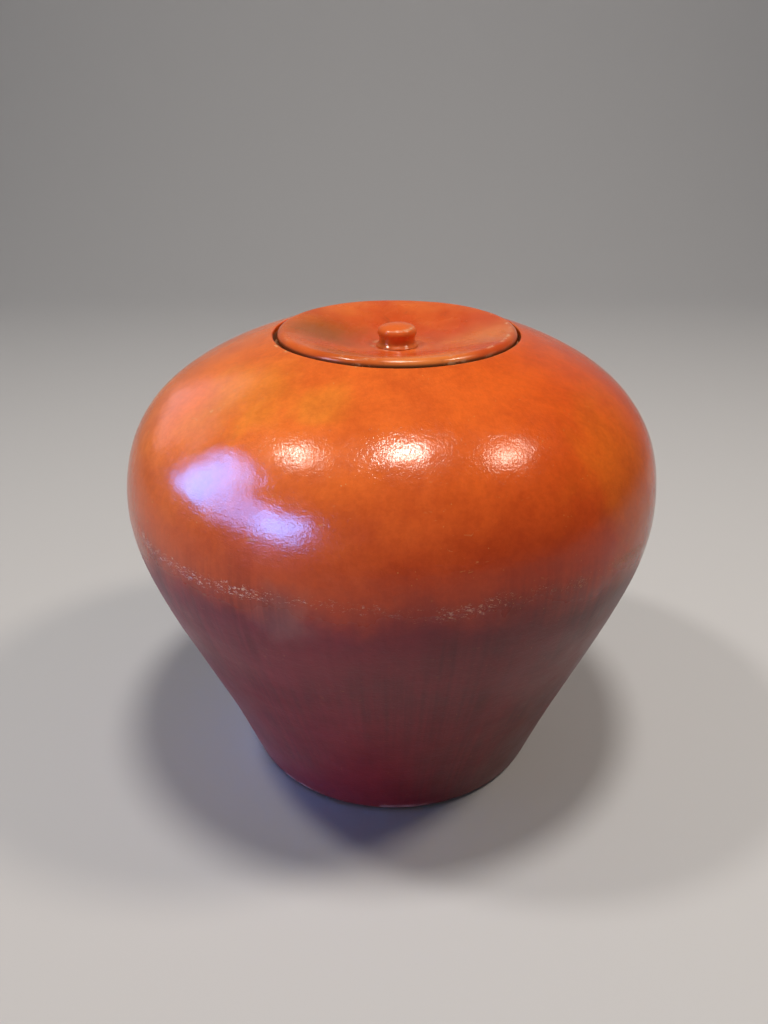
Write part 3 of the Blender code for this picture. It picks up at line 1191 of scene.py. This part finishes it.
@dataclass
class StubKnob:
    """The knob: a pinched stub with a domed cap and a flared, luted foot."""

    box: tuple[Vector, Vector]
    dish_height: float
    sides: int = 48
    neck: float = 10.1 * MM
    cap: float = 11.0 * MM
    foot: float = 12.2 * MM
    edge_rounding: float = 3.3 * MM
    edge_drop: float = 5.0 * MM
    edge_top: float = 66.0
    edge_foot: float = -34.0
    crown_pull: float = 4.8 * MM
    waist_height: float = 3.2 * MM
    flare_height: float = 1.8 * MM
    buried: float = 0.4 * MM

    def outline(self) -> list[Point]:
        """Return the section, from the crown down over the cap and neck to the foot."""
        foot, crown = self.foot, self.box[1].z
        base = self.dish_height
        centre = (self.cap - self.edge_rounding, crown - self.edge_drop)
        edge = corner(centre, self.edge_rounding, self.edge_top, self.edge_foot, 8)
        dome = curve((0.0, crown), (self.crown_pull, crown),
                     aim(edge[0], self.edge_top + 92.0, 2.6 * MM), edge[0], 6)
        waist = (self.neck, base + self.waist_height)
        throat = curve(edge[-1], aim(edge[-1], self.edge_foot - 90.0, 0.8 * MM),
                       (self.neck, waist[1] + 1 * MM), waist, 4)
        bulge = base + self.flare_height
        flare = curve(waist, (self.neck, bulge), (foot - 0.6 * MM, bulge),
                      (foot, base + 0.2 * MM), 5)
        sole = base - self.buried
        return dome + edge[1:] + throat[1:] + flare[1:] + [(foot * 0.9, sole), (0.0, sole)]

    def build(self, effects: Effects) -> bpy.types.Object:
        """Draw the knob, dress it and hang it on the lid.

        Args:
            effects: The shared effects.

        Returns:
            The finished piece.
        """
        piece = draw_up("pinched_knob", self.outline(), self.sides)
        smooth(piece, 1)
        Unevenness(depth=0.6 * MM, spread=7 * MM).work(piece, lambda at: 1.0)
        shift(piece, LID_OFF)
        crown = self.box[1].z
        finish = LidSlip(
            name="knob_burnished_slip",
            patches=(Patch((-0.006, -0.006, self.dish_height + 3 * MM), 9 * MM, 0.5, OLIVE),),
            worn=(Wear(self.cap - 1.2 * MM, crown - 2.2 * MM, 1.6 * MM, 0.60),
                  Wear(self.box[1].x, self.dish_height + 0.4 * MM, 1.6 * MM, 0.60)),
            # Painted shade: the knob's sides darken towards its foot.
            painted_shade_heights=(self.dish_height - 1 * MM, crown - 2 * MM), painted_shade_share=0.22,
            shade_and_gloss_from=self.neck - 3 * MM, red=(0.76, 0.135, 0.024))
        dress(piece, [finish.make(effects)], lambda middle, normal: 0)
        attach(piece, "lid")
        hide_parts("lid_knob")
        return piece


# --------------------------------------------------------------------------------------------
# The studio
# --------------------------------------------------------------------------------------------


@dataclass(frozen=True)
class SoftLamp:
    """A soft area light that looks at a point, and that shiny things mirror unless told not to."""

    name: str
    place: tuple[float, float, float]
    target: tuple[float, float, float]
    size: tuple[float, float]
    power: float
    tint: Colour
    is_round: bool = False
    is_mirrored: bool = True

    def hang(self, lit: bpy.types.Collection | None = None) -> None:
        """Hang the lamp.

        Args:
            lit: The only things that it lights, or nothing for a lamp that lights all.
        """
        data = bpy.data.lights.new(self.name, "AREA")
        data.shape = "ELLIPSE" if self.is_round else "RECTANGLE"
        data.size, data.size_y = self.size
        data.energy = self.power
        data.color = self.tint
        lamp = bpy.data.objects.new(self.name, data)
        bpy.context.scene.collection.objects.link(lamp)
        lamp.location = self.place
        look = Vector(self.target) - Vector(self.place)
        lamp.rotation_euler = look.to_track_quat("-Z", "Y").to_euler()
        lamp.visible_glossy = self.is_mirrored
        if lit:
            lamp.light_linking.receiver_collection = lit


@dataclass
class Studio:
    """A plain pale floor that sweeps up behind the jar, soft lamps and the camera."""

    floor_half: float = 3.0
    wall_height: float = 2.6
    wall_place: float = 1.9
    sweep: float = 0.7
    pale: Colour = (0.66, 0.67, 0.70)
    room_tint: Colour = (0.86, 0.90, 1.0)
    room_strength: float = 0.09
    camera_place: tuple[float, float, float] = (-0.0056, -0.4745, 0.3823)
    camera_dip: float = 26.2
    camera_lens: float = 31.3
    lamps: list[SoftLamp] = field(default_factory=lambda: [
        SoftLamp("lamp_middle", (0.07, -0.19, 1.78), (0.0, -0.10, 0.2), (0.33, 0.26), 12.4,
                 (1.0, 0.94, 0.85), True),
        SoftLamp("lamp_left", (-0.74, -0.09, 1.62), (0.0, -0.10, 0.2), (0.19, 0.18), 6.5,
                 (1.0, 0.93, 0.84), True),
        SoftLamp("lamp_right", (0.90, -0.13, 1.53), (0.0, -0.10, 0.2), (0.29, 0.27), 7.8,
                 (1.0, 0.86, 0.70), True),
    ])
    panes: list[SoftLamp] = field(default_factory=lambda: [
        SoftLamp("pane_far", (-1.40, -0.10, 0.90), (-0.08, -0.11, 0.22), (0.58, 0.98), 56.0,
                 (0.02, 0.33, 1.0)),
        SoftLamp("pane_middle", (-1.30, -0.64, 0.72), (-0.07, -0.12, 0.21), (0.54, 0.60), 19.0,
                 (0.14, 0.33, 1.0)),
        SoftLamp("pane_near", (-1.05, -1.08, 0.66), (-0.05, -0.13, 0.21), (0.52, 0.50), 37.0,
                 (0.09, 0.34, 1.0)),
        SoftLamp("pane_behind", (-1.11, 0.92, 0.80), (-0.11, -0.06, 0.23), (0.80, 0.80), 2.4,
                 (0.90, 0.62, 0.80)),
        SoftLamp("pane_low", (-0.95, -0.80, 0.10), (-0.06, -0.08, 0.10), (0.60, 0.22), 4.6,
                 (0.75, 0.40, 0.90), is_mirrored=False),
    ])
    lid_panes: list[SoftLamp] = field(default_factory=lambda: [
        SoftLamp("pane_for_lid", (-1.30, -0.50, 0.95), (0.0, 0.0, 0.26), (0.34, 0.44), 6.5,
                 (0.85, 0.74, 1.0)),
    ])

    def lay_floor(self) -> None:
        """Lay the floor and sweep it up into a wall."""
        clear_selection()
        bpy.ops.mesh.primitive_plane_add(size=2 * self.floor_half,
                                         location=(0.0, self.wall_place - self.floor_half, 0.0))
        floor = bpy.context.object
        floor.name = floor.data.name = "studio_floor"
        bpy.ops.object.transform_apply(location=True, rotation=True, scale=True)
        pick(floor, lambda at: at.y > self.wall_place - 10 * MM)
        bpy.ops.mesh.select_mode(type="EDGE")
        bpy.ops.mesh.extrude_edges_move(
            TRANSFORM_OT_translate={"value": (0.0, 0.0, self.wall_height)})
        bpy.ops.object.mode_set(mode="OBJECT")
        fold = floor.modifiers.new("sweep", "BEVEL")
        fold.width = self.sweep
        fold.segments = 16
        bpy.ops.object.modifier_apply(modifier=fold.name)
        bpy.ops.object.shade_smooth()
        paper = bpy.data.materials.new("pale_paper")
        paper.use_nodes = True
        shader = paper.node_tree.nodes["Principled BSDF"]
        shader.inputs["Base Color"].default_value = (*self.pale, 1.0)
        shader.inputs["Roughness"].default_value = 0.9
        floor.data.materials.append(paper)

    def light_room(self, wall: bpy.types.Collection, rest: bpy.types.Collection) -> None:
        """Hang the lamps, hang the cool panes and set the room's dim light.

        Args:
            wall: What the bright panes light: only the jar's wall, so that the floor stays plain.
            rest: What the soft pane lights.
        """
        for lamp in self.lamps:
            lamp.hang()
        for pane in self.panes:
            pane.hang(wall)
        for pane in self.lid_panes:
            pane.hang(rest)
        world = bpy.data.worlds.new("room")
        bpy.context.scene.world = world
        world.use_nodes = True
        room = world.node_tree.nodes["Background"]
        room.inputs["Color"].default_value = (*self.room_tint, 1.0)
        room.inputs["Strength"].default_value = self.room_strength
        bpy.context.scene.view_settings.view_transform = "Standard"
        bpy.context.scene.cycles.use_light_tree = False

    def set_camera(self) -> None:
        """Set the camera in front of the jar, a little above it."""
        data = bpy.data.cameras.new("camera")
        data.lens = self.camera_lens
        data.clip_start = 0.01
        camera = bpy.data.objects.new("camera", data)
        bpy.context.scene.collection.objects.link(camera)
        camera.location = self.camera_place
        camera.rotation_euler = (math.radians(90.0 - self.camera_dip), 0.0, 0.0)
        bpy.context.scene.camera = camera

    def build(self, wall: bpy.types.Object, rest: Sequence[bpy.types.Object]) -> None:
        """Lay the floor, light the room and set the camera.

        Args:
            wall: The jar's wall.
            rest: The other pieces.
        """
        groups = []
        for label, pieces in (("lit_with_wall", [wall]), ("lit_with_lid", rest)):
            groups.append(bpy.data.collections.new(label))
            for piece in pieces:
                groups[-1].objects.link(piece)
        self.lay_floor()
        self.light_room(*groups)
        self.set_camera()


def main() -> None:
    """Build the studio, then the jar, its seat, its lid and the knob."""
    logging.basicConfig(level=logging.INFO, format="%(name)s: %(message)s")
    effects = Effects()
    jar_box, seat_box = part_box("jar_body"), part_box("lid_seat_ring")
    lid_box, knob_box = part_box("lid_dish"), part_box("lid_knob")
    belly = (jar_box[1].x - BELLY_INSET, BELLY_HEIGHT)
    body = JarBody(belly=belly, lip_top=jar_box[1].z, mouth=MOUTH_RADIUS).build(effects)
    bare = body.data.materials[1]
    lid = SaucerLid(box=lid_box)
    pieces = [body, SeatRing(box=seat_box, mouth=MOUTH_RADIUS).build(bare),
              lid.build(effects, bare),
              StubKnob(box=knob_box, dish_height=lid.dish_height()).build(effects)]
    for piece in pieces:
        LOG.info("%s: %d faces", piece.name, len(piece.data.polygons))
    Studio().build(wall=pieces[0], rest=pieces[1:])


if __name__ == "__main__":
    main()
